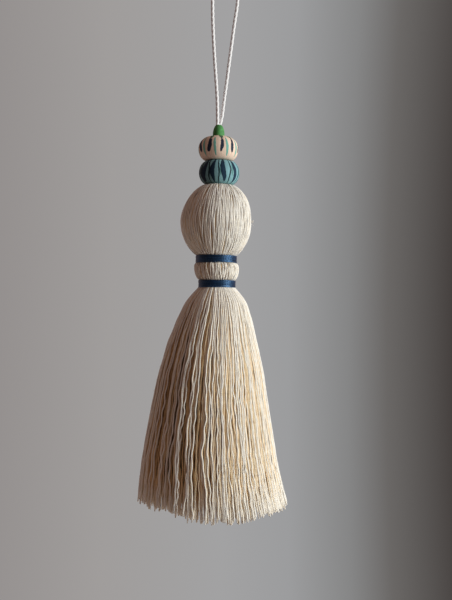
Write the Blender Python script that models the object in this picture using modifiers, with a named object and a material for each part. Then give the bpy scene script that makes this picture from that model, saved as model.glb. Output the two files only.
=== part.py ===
"""Yarn tassel with three threaded beads on a twisted hanging cord.

The origin is the inside top of the hanging loop, the place that a finger or a hook holds, and the
tassel hangs from it down -Z.  Its front faces -Y and its right side is +X.  From the top down it is
a loop of thin cord, a green bead, a painted wooden bead, a teal bead, a ball-shaped yarn head, a
navy binding, a short neck, a second navy binding and a flared skirt of loose yarn.
"""
import math
import random

import bmesh
import bpy
import numpy as np

MM = 0.001
FIT = 0.3 * MM                      # gap between neighbouring pieces
FULL_TURN = 2.0 * math.pi
MERGE = 0.00001                     # weld distance for turned bodies and filled caps

# Hanging cord
CORD_DIAMETER = 1.8 * MM
CORD_SPACING = 4.8 * MM             # between the points of the finished cord
LEG_OFFSET = 1.05 * MM              # each leg of the cord from the middle of the bores
LOOP_DROP = 103.2 * MM              # inside top of the loop down to the top of the painted bead

# Beads
GREEN_RADIUS = 3.6 * MM
GREEN_HALF_LENGTH = 5.4 * MM        # of the whole egg, whose lower end is cut flat
GREEN_WIDEST = 1.85 * MM            # widest place above the flat end
GREEN_BORE = 2.25 * MM
LARGE_BORE = 3.1 * MM
PAINTED_RADIUS = 12.4 * MM
PAINTED_HEIGHT = 14.9 * MM
PAINTED_TOP_FLAT = 4.6 * MM         # radius of the flat round the hole
PAINTED_BASE_FLAT = 7.2 * MM
TEAL_RADIUS = 12.6 * MM
TEAL_HEIGHT = 14.7 * MM
TEAL_TOP_FLAT = 7.2 * MM
TEAL_BASE_FLAT = 6.8 * MM
TEAL_SHIFT = 0.7 * MM               # the teal bead sits off centre on its cord

# Yarn head and neck
HEAD_RADIUS = 21.7 * MM
HEAD_HALF_HEIGHT = 25.3 * MM        # of the whole egg, before the bead and the binding cut it
HEAD_CENTRE_DROP = 23.0 * MM        # head's seat down to its widest place
HEAD_BELOW_CENTRE = 20.75 * MM      # widest place down to the upper binding
HEAD_LIP_RADIUS = 9.3 * MM          # the yarn swells up a little round the bead that sits on it
HEAD_LIP_RISE = 0.3 * MM
HEAD_TOP_DROP = 1.3 * MM            # the ball's own curve starts this far below its seat
HEAD_LEVELS = 9
NECK_HEIGHT = 10.8 * MM
RIB_COUNT = 30                      # bundles of yarn that stand out round the head
RIB_RISE = 0.5 * MM
NECK_PROFILE = (
    # share of the neck's height from its top, radius in mm
    (0.00, 12.7),
    (0.12, 13.6),
    (0.40, 13.8),
    (0.68, 13.2),
    (0.88, 12.2),
    (1.00, 11.2),
)

# Thread bindings
UPPER_RADIUS = 12.7 * MM
UPPER_HEIGHT = 4.5 * MM
LOWER_RADIUS = 11.5 * MM
LOWER_HEIGHT = 4.6 * MM
THREAD_DEPTH = 0.9 * MM             # of the wound thread
THREAD_GROOVE = 0.25 * MM           # between two raised turns
BINDING_TURNS = 4

# Skirt
SKIRT_HEM = 134.0 * MM              # lower binding down to the middle of the cut ends
HEM_SPREAD = 2.2 * MM               # how unevenly the ends are cut
SHOULDER_TURN = 3.6 * MM            # depth where the shoulder starts to steepen
SHOULDER_DEPTH = 9.0 * MM           # where the fused roots end and the locks stand free
SHOULDER_INSET = 0.55 * MM          # fused roots lie this far inside the skirt's outside
SHOULDER_MIDDLE = 7.0 * MM          # depth of the shoulder's underside at its middle
SKIRT_PROFILE = (
    # depth below the lower binding in mm, radius of the outside in mm
    (0.0, 11.4),
    (3.6, 14.2),
    (8.0, 18.4),
    (11.7, 20.4),
    (15.4, 21.9),
    (20.3, 24.2),
    (33.9, 28.2),
    (52.4, 33.0),
    (69.7, 35.9),
    (100.5, 41.0),
    (134.0, 46.0),
)
LOCK_RINGS = (
    # locks in the ring, share of the skirt's radius, lengths along a lock, depth of its root in mm
    (76, 1.00, 6, 1.0),
    (48, 0.78, 4, 5.0),
    (28, 0.54, 3, 5.0),
    (12, 0.29, 3, 5.0),
)
LOCK_FILL = 0.76                    # share of the pitch round a ring that a lock takes up
LOCK_OUTWARD = 0.45                 # height of a lock's outer edge, as a share of its width
LOCK_INWARD = 0.25                  # depth of its inner face, as a share of its width
LOCK_SPACING_POWER = 2.2            # sections lie closer together near the root
WAVE_LENGTH = 78.0 * MM
WAVE_RISE = 1.3 * MM                # sideways swing of a lock at the hem
WAVE_BEATS = ((2, 1.0), (3, 0.6))   # rounds of the skirt, and strength, of the wave's lead
SCATTER = 0.05                      # each lock's own shift, as a share of the pitch
ROOT_INSET = 1.3 * MM               # a lock's top end lies this much deeper in the fused roots
THINNING = 0.6 * MM                 # most that a lock hangs inside the skirt's outside at the hem

SWAY = (
    # height in mm, how far the yarn's middle lies to the right of the axis in mm
    (-330.0, -0.8),
    (-300.0, -2.2),
    (-262.0, -2.8),
    (-230.0, -2.2),
    (-205.0, -0.2),
    (-194.8, 0.3),
    (-187.0, -0.1),
    (-179.5, -0.4),
    (-156.0, -1.0),
    (-133.0, 0.6),
)

CORD_ROUTE = (
    # across and up, in mm, from the head up the left leg, round the loop and down the right leg
    (-1.05, -126.0),
    (-1.05, -118.0),
    (-1.05, -110.0),
    (-1.05, -102.0),
    (-1.05, -96.0),
    (-0.85, -90.0),
    (-1.25, -79.0),
    (-2.10, -68.0),
    (-3.05, -56.5),
    (-3.95, -44.0),
    (-4.60, -32.0),
    (-4.95, -20.0),
    (-4.85, -10.0),
    (-3.30, -2.2),
    (0.00, 0.9),
    (4.60, -0.4),
    (8.60, -5.2),
    (10.60, -12.0),
    (10.50, -20.0),
    (8.90, -32.0),
    (7.45, -44.0),
    (5.95, -56.5),
    (4.60, -68.0),
    (3.20, -79.0),
    (1.95, -90.0),
    (1.05, -96.0),
    (1.05, -102.0),
    (1.05, -110.0),
    (1.05, -118.0),
    (1.05, -126.0),
)

STEPS_SMALL_BEAD = 24
STEPS_LARGE_BEAD = 40
STEPS_BINDING = 40
ARC_STEPS = 5                       # along each quarter of a bead's side
ROUTE_STEPS = 40                    # finely worked points between two points of the cord's route
LOCK_SEED = 11

# Heights, worked out from the top down
PAINTED_TOP = -LOOP_DROP
GREEN_BASE = PAINTED_TOP + FIT
TEAL_TOP = PAINTED_TOP - PAINTED_HEIGHT - FIT
TEAL_BASE = TEAL_TOP - TEAL_HEIGHT
HEAD_SEAT = TEAL_BASE - FIT
HEAD_CENTRE = HEAD_SEAT - HEAD_CENTRE_DROP
UPPER_TOP = HEAD_CENTRE - HEAD_BELOW_CENTRE
UPPER_BASE = UPPER_TOP - UPPER_HEIGHT
LOWER_TOP = UPPER_BASE - NECK_HEIGHT
LOWER_BASE = LOWER_TOP - LOWER_HEIGHT


def make_collection(name):
    collection = bpy.data.collections.new(name)
    bpy.context.scene.collection.children.link(collection)
    return collection


def make_material(name, color, roughness):
    material = bpy.data.materials.new(name)
    material.use_nodes = True
    shader = material.node_tree.nodes["Principled BSDF"]
    shader.inputs["Base Color"].default_value = (*color, 1.0)
    shader.inputs["Roughness"].default_value = roughness
    shader.inputs["Metallic"].default_value = 0.0
    return material


def table_value(rows, place):
    """Read the second column of a two-column table in mm at a place in metres."""
    places = [row[0] * MM for row in rows]
    values = [row[1] * MM for row in rows]
    return float(np.interp(place, places, values))


def sway(height):
    """How far the yarn's middle lies off the axis at a height."""
    return table_value(SWAY, height)


def turned(name, profile, steps, collection, material, closed):
    """Turn (radius, height) points, listed top to bottom down the outside, round the Z axis.

    A closed profile comes back up its bore; an open one starts and ends on the axis.
    """
    mesh = bpy.data.meshes.new(name)
    points = [(radius, 0.0, height) for radius, height in profile]
    edges = [(index, index + 1) for index in range(len(points) - 1)]
    if closed:
        edges.append((len(points) - 1, 0))
    mesh.from_pydata(points, edges, [])
    mesh.materials.append(material)
    body = bpy.data.objects.new(name, mesh)
    collection.objects.link(body)
    screw = body.modifiers.new("Turn", "SCREW")
    screw.axis = "Z"
    screw.angle = FULL_TURN
    screw.steps = steps
    screw.render_steps = steps
    screw.use_merge_vertices = True
    screw.merge_threshold = MERGE
    return body


def to_mesh(body):
    """Swap an object for a plain mesh object of its finished shape."""
    bpy.context.view_layer.update()
    graph = bpy.context.evaluated_depsgraph_get()
    mesh = bpy.data.meshes.new_from_object(body.evaluated_get(graph))
    solid = bpy.data.objects.new(body.name, mesh)
    solid.matrix_world = body.matrix_world
    for collection in body.users_collection:
        collection.objects.link(solid)
    name = body.name
    bpy.data.objects.remove(body)
    solid.name = name
    return solid


def bulge(radius, top, base, top_flat, base_flat):
    """Outline of a flattened bead: a rounded side between two flat ends, from top to bottom."""
    half = (top - base) / 2.0
    middle = (top + base) / 2.0
    points = []
    for index in range(2 * ARC_STEPS + 1):
        angle = math.pi / 2.0 * (1.0 - index / ARC_STEPS)
        flat = top_flat if angle >= 0.0 else base_flat
        points.append((flat + (radius - flat) * math.cos(angle), middle + half * math.sin(angle)))
    return points


def large_bead(name, radius, top, height, top_flat, base_flat, collection, material):
    base = top - height
    outline = bulge(radius, top, base, top_flat, base_flat)
    profile = [(LARGE_BORE, top)] + outline + [(LARGE_BORE, base)]
    return turned(name, profile, STEPS_LARGE_BEAD, collection, material, closed=True)


def green_bead(collection, material):
    """Egg on end: its lower end is cut flat and its tip is cut by the bore."""
    middle = GREEN_BASE + GREEN_WIDEST
    base_angle = math.asin(-GREEN_WIDEST / GREEN_HALF_LENGTH)
    top_angle = math.acos(GREEN_BORE / GREEN_RADIUS)
    rows = 2 * ARC_STEPS
    profile = []
    for index in range(rows + 1):
        angle = top_angle + (base_angle - top_angle) * index / rows
        radius = GREEN_RADIUS * math.cos(angle)
        profile.append((radius, middle + GREEN_HALF_LENGTH * math.sin(angle)))
    profile.append((GREEN_BORE, GREEN_BASE))
    return turned("green_bead", profile, STEPS_SMALL_BEAD, collection, material, closed=True)


def binding(name, radius, top, height, collection, material):
    """Wound thread: a band with its turns raised as rounded ridges."""
    inside = radius - THREAD_DEPTH
    groove = radius - THREAD_GROOVE
    turn = height / BINDING_TURNS
    profile = [(inside, top), (groove, top)]
    for index in range(BINDING_TURNS):
        turn_top = top - index * turn
        profile.append((radius, turn_top - turn / 2.0))
        profile.append((groove, turn_top - turn))
    profile.append((inside, top - height))
    band = turned(name, profile, STEPS_BINDING, collection, material, closed=True)
    band.location.x = sway(top - height / 2.0)
    return band


def smooth_route(points, spacing):
    """Points at an even spacing on a smooth curve through the route's own points.

    Between two of its points the curve is the Catmull-Rom cubic of those two and their neighbours.
    """
    ends = [2 * points[0] - points[1]] + points + [2 * points[-1] - points[-2]]
    dense = []
    for before, start, end, after in zip(ends, ends[1:], ends[2:], ends[3:]):
        for index in range(ROUTE_STEPS):
            t = index / ROUTE_STEPS
            dense.append(0.5 * (2 * start + (end - before) * t
                                + (2 * before - 5 * start + 4 * end - after) * t ** 2
                                + (3 * start - before - 3 * end + after) * t ** 3))
    dense.append(points[-1])
    dense = np.array(dense)
    run = np.concatenate([[0.0], np.cumsum(np.linalg.norm(np.diff(dense, axis=0), axis=1))])
    count = round(run[-1] / spacing)
    stops = np.linspace(0.0, run[-1], count + 1)
    return [[float(np.interp(stop, run, dense[:, axis])) for axis in range(3)] for stop in stops]


def hanging_cord(collection, material):
    """One cord: up from the head through the beads, round the loop and down beside itself."""
    foot = HEAD_SEAT + FIT
    across_and_up = [(-LEG_OFFSET, foot)]
    across_and_up += [(across * MM, up * MM) for across, up in CORD_ROUTE]
    across_and_up.append((LEG_OFFSET, foot))
    route = smooth_route([np.array((across, 0.0, up)) for across, up in across_and_up], CORD_SPACING)
    curve = bpy.data.curves.new("hanging_cord", "CURVE")
    curve.dimensions = "3D"
    curve.bevel_depth = CORD_DIAMETER / 2.0
    curve.bevel_resolution = 2
    curve.use_fill_caps = True
    spline = curve.splines.new("POLY")
    spline.points.add(len(route) - 1)
    for point, place in zip(spline.points, route):
        point.co = (*place, 1.0)
    curve.materials.append(material)
    cord = bpy.data.objects.new("hanging_cord", curve)
    collection.objects.link(cord)
    return cord


def ball_outline():
    """Side of the yarn ball, an upright ellipse cut off by its seat and by the upper binding."""
    start = math.asin((HEAD_CENTRE_DROP - HEAD_TOP_DROP) / HEAD_HALF_HEIGHT)
    end = -math.asin((HEAD_BELOW_CENTRE - FIT) / HEAD_HALF_HEIGHT)
    points = []
    for index in range(HEAD_LEVELS):
        angle = start + (end - start) * index / (HEAD_LEVELS - 1)
        height = HEAD_CENTRE + HEAD_HALF_HEIGHT * math.sin(angle)
        points.append((HEAD_RADIUS * math.cos(angle), height))
    return points


def yarn_profile():
    """Outline of the bound yarn: seat, ball, waist, neck, waist and the shoulder of fused roots."""
    profile = [(0.0, HEAD_SEAT), (TEAL_BASE_FLAT, HEAD_SEAT)]
    profile.append((HEAD_LIP_RADIUS, HEAD_SEAT + HEAD_LIP_RISE))
    profile += ball_outline()
    waist = UPPER_RADIUS - THREAD_DEPTH - FIT
    profile += [(waist, UPPER_TOP + FIT), (waist, UPPER_BASE - FIT)]
    neck_top = UPPER_BASE - FIT
    neck_height = NECK_HEIGHT - 2.0 * FIT
    profile += [(radius * MM, neck_top - share * neck_height) for share, radius in NECK_PROFILE]
    waist = LOWER_RADIUS - THREAD_DEPTH - FIT
    profile += [(waist, LOWER_TOP + FIT), (waist, LOWER_BASE - FIT)]
    for depth in (FIT, SHOULDER_TURN, SHOULDER_DEPTH):
        profile.append((skirt_radius(depth) - SHOULDER_INSET, LOWER_BASE - depth))
    profile.append((0.0, LOWER_BASE - SHOULDER_MIDDLE))
    return profile


def skirt_radius(depth):
    """Radius of the skirt's outside at a depth below the lower binding."""
    return table_value(SKIRT_PROFILE, depth)


def raise_ribs(body):
    """Sink every second meridian of the ball and the neck, and shift each level by its sway."""
    for vertex in body.data.vertices:
        across, back, height = vertex.co
        radius = math.hypot(across, back)
        if radius > UPPER_RADIUS and height > LOWER_TOP:
            meridian = round(math.atan2(back, across) / FULL_TURN * 2 * RIB_COUNT)
            if meridian % 2:
                stretch = 1.0 - RIB_RISE / radius
                vertex.co.x *= stretch
                vertex.co.y *= stretch
        vertex.co.x += sway(height)


def lock_path(turn, ring_share, lengths, root, hem, shift):
    """Outer line of one lock as (angle, radius, depth) stations, from its root to its cut end.

    The radius follows the skirt's outside.  The angle swings as a sine of the depth, which grows
    towards the hem and whose lead drifts slowly round the skirt, so that neighbours swing together.
    """
    lead = sum(strength * math.sin(beats * turn) for beats, strength in WAVE_BEATS)
    stations = []
    for index in range(lengths + 1):
        depth = root + (hem - root) * (index / lengths) ** LOCK_SPACING_POWER
        radius = ring_share * skirt_radius(depth)
        swing = WAVE_RISE * depth / hem * math.sin(FULL_TURN * depth / WAVE_LENGTH + lead)
        angle = turn + shift + swing / radius
        stations.append((angle, radius, depth))
    return stations


def lock_section(angle, radius, depth, width):
    """Three corners of a lock: an outer edge and an inner face, at one depth."""
    middle = radius - LOCK_OUTWARD * width
    height = LOWER_BASE - depth
    corners = []
    for outward, sideways in ((LOCK_OUTWARD, 0.0), (-LOCK_INWARD, 0.5), (-LOCK_INWARD, -0.5)):
        reach = middle + outward * width
        side = sideways * width
        across = reach * math.cos(angle) - side * math.sin(angle)
        back = reach * math.sin(angle) + side * math.cos(angle)
        corners.append((across + sway(height), back, height))
    return corners


def add_loft(mesh, sections):
    """Skin one closed body over its three-cornered sections."""
    rings = [[mesh.verts.new(corner) for corner in section] for section in sections]
    for upper, lower in zip(rings, rings[1:]):
        for corner in range(3):
            after = (corner + 1) % 3
            mesh.faces.new((upper[corner], upper[after], lower[after], lower[corner]))
    mesh.faces.new(rings[0][::-1])
    mesh.faces.new(rings[-1])


def skirt_locks(collection, material):
    """Every lock of the skirt as one object of separate lofts, ready to be joined to the roots."""
    chance = random.Random(LOCK_SEED)
    mesh = bmesh.new()
    for count, ring_share, lengths, root in LOCK_RINGS:
        for index in range(count):
            pitch = FULL_TURN / count
            turn = pitch * index
            shift = pitch * SCATTER * chance.uniform(-1.0, 1.0)
            hem = SKIRT_HEM + HEM_SPREAD * chance.uniform(-1.0, 1.0)
            inward = THINNING * chance.uniform(0.0, 1.0)
            path = lock_path(turn, ring_share, lengths, root * MM, hem, shift)
            sections = []
            for angle, radius, depth in path:
                reach = radius - inward * depth / hem
                if not sections:
                    reach -= ROOT_INSET
                spread = LOCK_FILL * pitch
                width = spread * reach / (1.0 + spread * (LOCK_OUTWARD + LOCK_INWARD))
                sections.append(lock_section(angle, reach, depth, width))
            add_loft(mesh, sections)
    data = bpy.data.meshes.new("skirt_locks")
    bmesh.ops.recalc_face_normals(mesh, faces=mesh.faces)
    mesh.to_mesh(data)
    mesh.free()
    data.materials.append(material)
    locks = bpy.data.objects.new("skirt_locks", data)
    locks.hide_render = True
    locks.display_type = "WIRE"
    collection.objects.link(locks)
    return locks


def yarn_tassel(collection, guides, material):
    """The yarn in one piece: bound head, neck and shoulder, with the skirt's locks joined on."""
    body = turned("yarn_tassel", yarn_profile(), 2 * RIB_COUNT, collection, material, closed=False)
    body = to_mesh(body)
    raise_ribs(body)
    union = body.modifiers.new("Roots", "BOOLEAN")
    union.operation = "UNION"
    union.solver = "EXACT"
    union.object = skirt_locks(guides, material)
    return body


def main():
    for old in list(bpy.data.objects):
        bpy.data.objects.remove(old)
    collection = make_collection("tassel")
    guides = make_collection("guides")
    cord = make_material("white_cord", (0.86, 0.84, 0.80), 0.85)
    green = make_material("green_paint", (0.07, 0.28, 0.08), 0.55)
    wood = make_material("painted_wood", (0.72, 0.52, 0.38), 0.60)
    teal = make_material("teal_paint", (0.16, 0.38, 0.36), 0.60)
    yarn = make_material("ecru_yarn", (0.80, 0.72, 0.57), 0.90)
    navy = make_material("navy_thread", (0.01, 0.04, 0.13), 0.45)

    hanging_cord(collection, cord)
    green_bead(collection, green)
    large_bead("painted_bead", PAINTED_RADIUS, PAINTED_TOP, PAINTED_HEIGHT,
               PAINTED_TOP_FLAT, PAINTED_BASE_FLAT, collection, wood)
    teal_bead = large_bead("teal_bead", TEAL_RADIUS, TEAL_TOP, TEAL_HEIGHT,
                           TEAL_TOP_FLAT, TEAL_BASE_FLAT, collection, teal)
    teal_bead.location.x = TEAL_SHIFT
    yarn_tassel(collection, guides, yarn)
    binding("upper_binding", UPPER_RADIUS, UPPER_TOP, UPPER_HEIGHT, collection, navy)
    binding("lower_binding", LOWER_RADIUS, LOWER_TOP, LOWER_HEIGHT, collection, navy)


main()
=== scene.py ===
"""Looks for a yarn tassel that hangs from a twisted cord below three threaded wooden beads.

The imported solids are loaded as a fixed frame: +Z up, front towards -Y, the origin inside the top
of the hanging loop.  Every operator makes one piece, or one group of like pieces, in that frame.
Lengths are in metres; tables that are marked so are in millimetres.
"""
import math

import bpy
import numpy as np
from mathutils import Matrix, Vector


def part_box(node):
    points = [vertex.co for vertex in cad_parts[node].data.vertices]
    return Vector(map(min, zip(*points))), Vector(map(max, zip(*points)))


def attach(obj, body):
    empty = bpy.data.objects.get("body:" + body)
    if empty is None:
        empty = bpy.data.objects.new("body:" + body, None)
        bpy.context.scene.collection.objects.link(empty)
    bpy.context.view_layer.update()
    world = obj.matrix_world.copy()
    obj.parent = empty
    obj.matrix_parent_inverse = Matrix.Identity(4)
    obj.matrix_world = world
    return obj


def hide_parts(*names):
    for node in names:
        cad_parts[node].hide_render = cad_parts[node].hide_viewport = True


bl_info = {
    "name": "Beaded Yarn Tassel",
    "version": (1, 0, 0),
    "blender": (4, 5, 0),
    "location": "3D View > Sidebar > Tassel",
    "description": "Builds the cord, beads, yarn and thread of a hanging tassel",
    "category": "Add Mesh",
}

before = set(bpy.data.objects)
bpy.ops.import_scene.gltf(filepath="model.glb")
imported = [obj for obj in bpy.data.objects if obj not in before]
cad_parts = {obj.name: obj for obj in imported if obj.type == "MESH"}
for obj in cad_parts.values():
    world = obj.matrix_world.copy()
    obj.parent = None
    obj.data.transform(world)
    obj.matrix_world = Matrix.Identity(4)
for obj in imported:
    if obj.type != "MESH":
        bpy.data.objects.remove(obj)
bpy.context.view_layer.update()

MM = 0.001
V_PER_METRE = 100.0                 # V runs along yarn, cord and thread in centimetres
FULL_TURN = 2.0 * math.pi
FIT = 0.3 * MM                      # gap between neighbouring solids


def node_span(node, axis=2):
    """Lowest and highest place of a solid along one axis."""
    low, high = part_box(node)
    return low[axis], high[axis]


GREEN_BASE = node_span("green_bead")[0]
TEAL_BASE = node_span("teal_bead")[0]
TEAL_SHIFT = sum(node_span("teal_bead", 0)) / 2.0
UPPER_BASE, UPPER_TOP = node_span("upper_binding")
LOWER_BASE, LOWER_TOP = node_span("lower_binding")
HEAD_SEAT = TEAL_BASE - FIT
HEAD_CENTRE = HEAD_SEAT - 23.0 * MM
HEAD_RADIUS = 22.0 * MM             # of the ball, across
HEAD_HALF = 25.3 * MM               # half of the ball's height, were it whole

LARGE_BORE = 3.1 * MM               # radius of the hole in the two large beads
SMALL_BORE = 2.25 * MM
LEG_OFFSET = 1.05 * MM              # each leg of the cord from the middle of the bores
FIBRE_RADIUS = 0.085 * MM           # of a stray fibre where it starts
YARN_LAY = 0.35                     # V in which a ply of the yarn goes once round
THREAD_LAY = 0.16                   # the same of the thread
BUNDLES = 23.0                      # of yarns round the skirt
YARNS_A_LOCK = 2.6                  # in the skirt, yarns that swing together
PAINT_EDGE = 0.0016                 # half the soft edge of a painted stroke, in turns

CORD_ROUTE = (
    # across and up, in mm, from the head up the left leg, round the loop and down the right leg
    (-1.05, -126.0), (-1.05, -118.0), (-1.05, -110.0), (-1.05, -102.0), (-1.05, -96.0),
    (-0.85, -90.0), (-1.25, -79.0), (-2.10, -68.0), (-3.05, -56.5), (-3.95, -44.0),
    (-4.60, -32.0), (-4.95, -20.0), (-4.85, -10.0), (-3.30, -2.2), (0.00, 0.9),
    (4.60, -0.4), (8.60, -5.2), (10.60, -12.0), (10.50, -20.0), (8.90, -32.0),
    (7.45, -44.0), (5.95, -56.5), (4.60, -68.0), (3.20, -79.0), (1.95, -90.0),
    (1.05, -96.0), (1.05, -102.0), (1.05, -110.0), (1.05, -118.0), (1.05, -126.0),
)

SWAY = (
    # height in mm, how far the yarn's middle lies to the right of the axis in mm
    (-330.0, -1.2), (-300.0, -2.7), (-262.0, -2.6), (-230.0, -1.7), (-205.0, 0.0),
    (-194.8, 0.3), (-187.0, -0.1), (-179.5, -0.4), (-156.0, -1.0), (-133.0, 0.6),
)

SKIRT_PROFILE = (
    # depth below the lower binding in mm, radius of the outside in mm
    (-2.0, 10.0), (0.0, 11.5), (3.6, 14.8), (8.0, 18.5), (11.7, 20.3), (15.4, 21.6),
    (20.3, 23.7), (33.9, 27.7), (52.4, 32.5), (69.7, 35.6), (100.5, 41.0), (134.0, 46.0),
    (142.0, 47.0),
)
SKIRT_LENGTH = 134.0 * MM

NECK_PROFILE = (
    # share of the neck's height from its top, radius in mm
    (-0.10, 11.2), (0.0, 12.8), (0.10, 13.7), (0.40, 13.9), (0.68, 13.4), (0.88, 12.6),
    (1.0, 11.4), (1.10, 10.0),
)

SKIRT_LAYERS = (
    # piece, setting of its count, kind, stations, sides, share of the radius at its outer and
    # inner side low down, least and most tint (more for deeper layers: painted shade), play
    # outwards and kinks sideways in mm
    ("skirt_loose_yarns", "loose_yarns", "loose", 78, 6, 1.012, 0.990, 0.00, 0.15, 0.14, 0.25),
    ("skirt_outer_yarns", "outer_yarns", "close", 60, 6, 0.984, 0.968, 0.40, 0.85, 0.10, 0.14),
    ("skirt_second_yarns", "second_yarns", "close", 50, 5, 0.950, 0.935, 0.60, 1.00, 0.14, 0.14),
    ("skirt_third_yarns", "third_yarns", "close", 36, 4, 0.905, 0.840, 1.00, 1.25, 0.20, 0.12),
    ("skirt_inner_yarns", "inner_yarns", "even", 26, 4, 0.800, 0.060, 1.00, 1.30, 0.25, 0.12),
)


# ---------------- settings


def length(name, description, default):
    return bpy.props.FloatProperty(
        name=name, description=description, default=default, min=0.0,
        subtype="DISTANCE", unit="LENGTH", precision=5)


def colour(name, description, default):
    return bpy.props.FloatVectorProperty(
        name=name, description=description, default=default, min=0.0, max=1.0,
        subtype="COLOR", size=3)


def count(name, description, default):
    return bpy.props.IntProperty(name=name, description=description, default=default, min=1)


class CordSettings(bpy.types.PropertyGroup):
    diameter: length("Diameter", "Thickness of the twisted cord", 2.15 * MM)
    lay: length("Lay", "Length in which one ply goes once round", 7.0 * MM)
    colour: colour("Colour", "Bleached cotton", (0.90, 0.90, 0.90))


class BeadSettings(bpy.types.PropertyGroup):
    green: colour("Green", "Paint of the small bead", (0.105, 0.375, 0.110))
    wood: colour("Wood", "Bare wood of the middle bead", (0.90, 0.71, 0.565))
    teal: colour("Teal", "Ground of the lowest bead", (0.245, 0.475, 0.515))
    drips: colour("Pale drips", "Drips between the navy ones", (0.17, 0.48, 0.40))
    navy: colour("Navy", "Dark drips and stripes", (0.007, 0.019, 0.042))
    pairs: count("Pairs of strokes", "Pairs of strokes round a bead", 10)


class YarnSettings(bpy.types.PropertyGroup):
    thickness: length("Yarn thickness", "Thickness of one yarn", 0.96 * MM)
    head_yarns: count("Yarns over the head", "Yarns that lie over the ball", 236)
    neck_yarns: count("Yarns in the neck", "Yarns between the two bindings", 136)
    loose_yarns: count("Loose yarns", "Pale yarns that stand a little proud of the skirt", 122)
    outer_yarns: count("Outer yarns", "Yarns on the outside of the skirt", 190)
    second_yarns: count("Second yarns", "Yarns just behind the outer ones", 190)
    third_yarns: count("Third yarns", "Yarns behind the second ones", 200)
    inner_yarns: count("Inner yarns", "Yarns in the middle of the skirt", 400)
    pale: colour("Pale yarn", "Outer yarns", (0.885, 0.85, 0.76))
    # Tan: part the yarns' own tone, part painted shade for yarns between and below others
    tan: colour("Tan yarn", "Shaded yarns between and below them", (0.84, 0.595, 0.30))
    skirt_fibres: count("Fibres on the skirt", "Fine fibres that stand off the skirt", 130)
    head_fibres: count("Fibres on the head", "Fine fibres that stand off the ball", 70)
    tuft_fibres: count("Fibres in the tuft", "Fibres of the head that share one place", 12)


class BindingSettings(bpy.types.PropertyGroup):
    thickness: length("Thread thickness", "Thickness of the wound thread", 0.62 * MM)
    turns: count("Turns", "Turns side by side in a binding", 9)
    colour: colour("Colour", "Navy thread", (0.003, 0.015, 0.042))


class StageSettings(bpy.types.PropertyGroup):
    distance: length("Camera distance", "From the camera to the hanging line", 0.525)
    key_power: bpy.props.FloatProperty(
        name="Key light", description="Power of the large soft light on the right",
        default=21.3, min=0.0, subtype="POWER", unit="POWER")
    fill: colour("Front fill", "Weak warm light from the front", (0.055, 0.032, 0.029))
    wall: colour("Wall light", "Light that the wall behind throws back", (0.335, 0.238, 0.219))
    ceiling: colour("Ceiling light", "Light from above", (0.265, 0.186, 0.171))


# ---------------- curves and tables


def table(rows, places):
    """Values of a two-column table in mm at places in metres, joined by straight lines."""
    return np.interp(places, *(np.array(rows) * MM).T)


def soft_table(rows, places):
    """As table, but each value is the mean of five places over 4 mm, which rounds the corners."""
    return sum(table(rows, places + step * MM) for step in (-2.0, -1.0, 0.0, 1.0, 2.0)) / 5.0


def sway(heights):
    """How far the yarn's middle lies to the right of the axis at each height."""
    return soft_table(SWAY, heights)


def smooth_curve(points, stations):
    """Points at an even spacing on the Catmull-Rom curve through the given points, and its length.

    Between two points the curve is the cubic of those two and their two neighbours.
    """
    points = np.array(points, float)
    ends = np.vstack([2 * points[0] - points[1], points, 2 * points[-1] - points[-2]])
    t = np.linspace(0.0, 1.0, 40, endpoint=False)[None, :, None]
    before, start, end, after = (ends[k:len(ends) - 3 + k, None] for k in range(4))
    dense = 0.5 * (2 * start + (end - before) * t
                   + (2 * before - 5 * start + 4 * end - after) * t ** 2
                   + (3 * start - before - 3 * end + after) * t ** 3)
    dense = np.vstack([dense.reshape(-1, points.shape[1]), points[-1]])
    run = np.concatenate([[0.0], np.cumsum(np.linalg.norm(np.diff(dense, axis=0), axis=1))])
    stops = np.linspace(0.0, run[-1], stations)
    return np.stack([np.interp(stops, run, axis) for axis in dense.T], axis=1), run[-1]


def wander(chance, strands, along, shortest, longest, waves=5):
    """Smooth random paths of about unit reach, one for each strand, at places along it.

    Each is a sum of sines whose wave lengths lie between the two given, in mm, and whose strength
    goes with their length.
    """
    shortest, longest = shortest * MM, longest * MM
    wave = chance.uniform(shortest, longest, (strands, 1, waves))
    lead = chance.uniform(0.0, FULL_TURN, (strands, 1, waves))
    strength = chance.uniform(0.4, 1.0, (strands, 1, waves)) * wave / longest
    strength /= np.sqrt((strength ** 2).sum(axis=2, keepdims=True) / 2.0)
    return (strength * np.sin(FULL_TURN * along[..., None] / wave + lead)).sum(axis=2)


def eased(x):
    """Smooth step from 0 to 1."""
    x = np.clip(x, 0.0, 1.0)
    return x * x * (3.0 - 2.0 * x)


def eased_over(place, span, start=0.0):
    """Smooth step from 0 at the start to 1 after the span, both in mm, at places in metres."""
    return eased((place - start * MM) / (span * MM))


def unit(vectors):
    """The same directions with length 1."""
    return vectors / np.linalg.norm(vectors, axis=-1, keepdims=True)


def together(*parts):
    """Arrays, stretched to one shape, as the numbers of a new last axis."""
    return np.stack(np.broadcast_arrays(*parts), axis=-1)


# ---------------- meshes


def put(elements, key, numbers, kind=np.float32):
    """Give one property to all elements at once."""
    elements.foreach_set(key, np.ascontiguousarray(numbers, kind).ravel())


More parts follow.
